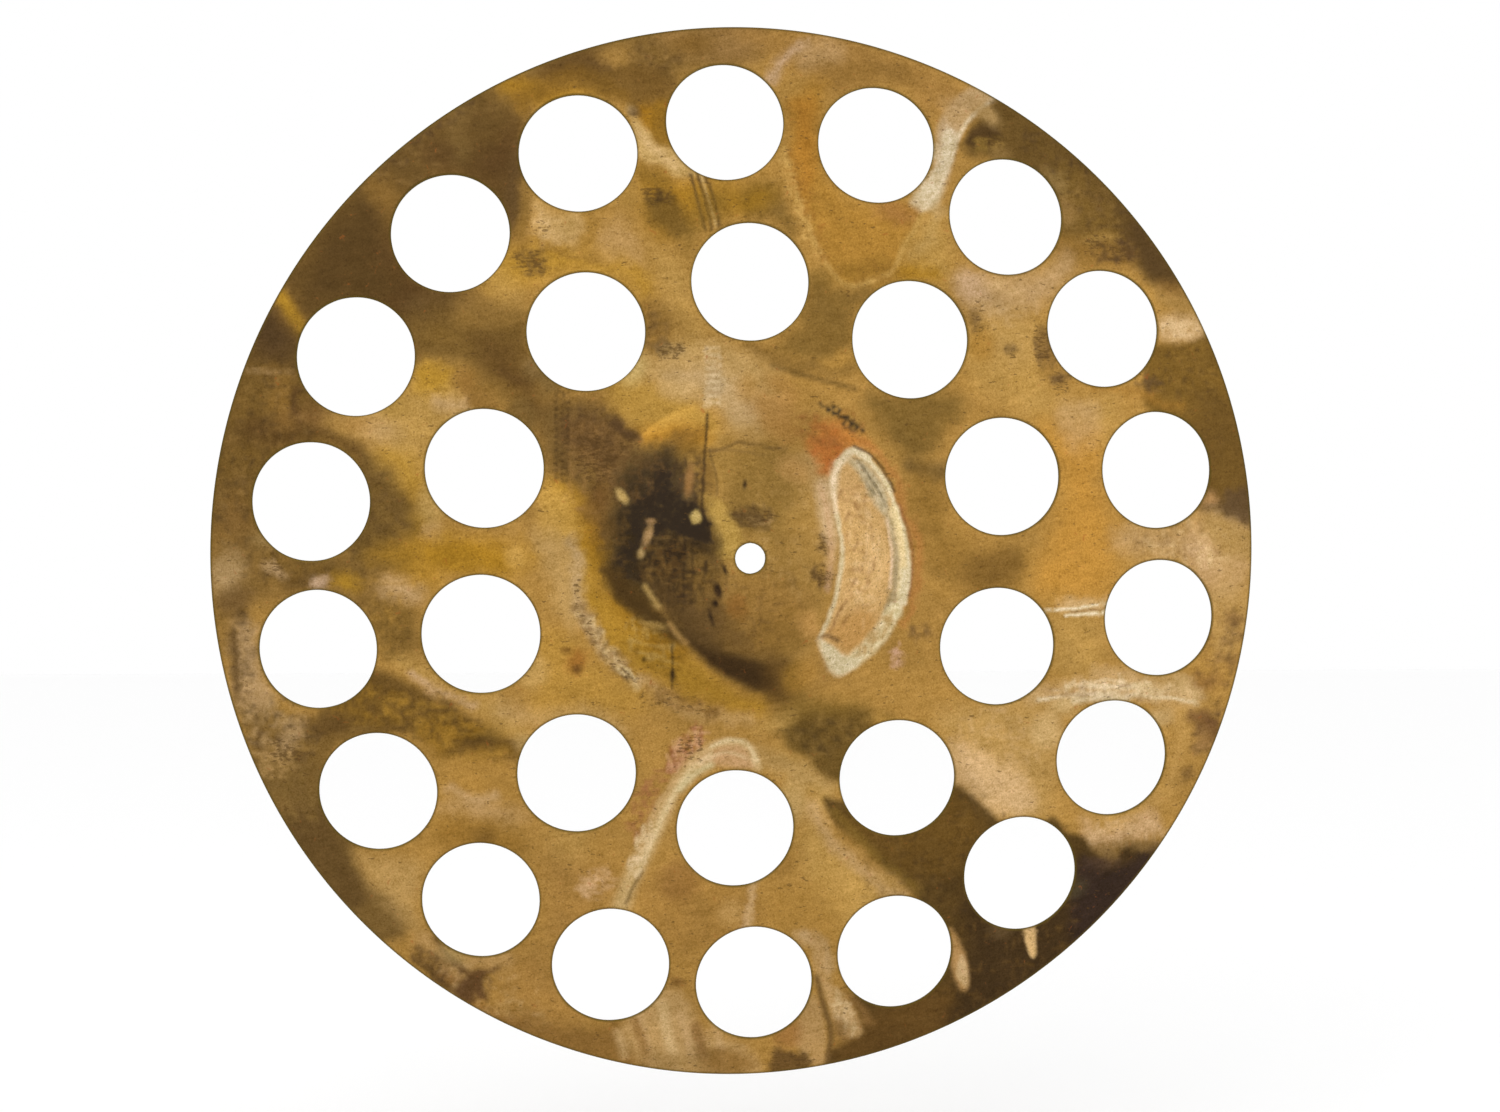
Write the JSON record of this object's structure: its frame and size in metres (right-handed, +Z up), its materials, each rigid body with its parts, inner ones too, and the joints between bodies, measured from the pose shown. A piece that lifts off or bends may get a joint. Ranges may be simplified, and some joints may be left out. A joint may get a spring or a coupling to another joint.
{
  "type": "perforated gong",
  "caption": "Thin domed bronze gong plate with a raised bell, a hole in its flat crown to hang or mount it by, and two rings of round holes punched through the bow.",
  "frame": {"origin": "on the gong's axis, midway between the front of the bell's crown and the back of the rim, which is the centre of the bounding box", "axes": "+Z up with the gong hanging upright, its axis along Y, the bell pointing to -Y and the hollow back to +Y"},
  "size_m": [0.457, 0.0428, 0.457],
  "materials": {
    "aged_bronze": "hand polished bronze with dark oxide stains, pale polishing haze and copper-red heat tint"
  },
  "bodies": {
    "root": {"gong_plate": "aged_bronze"}
  },
  "joints": []
}
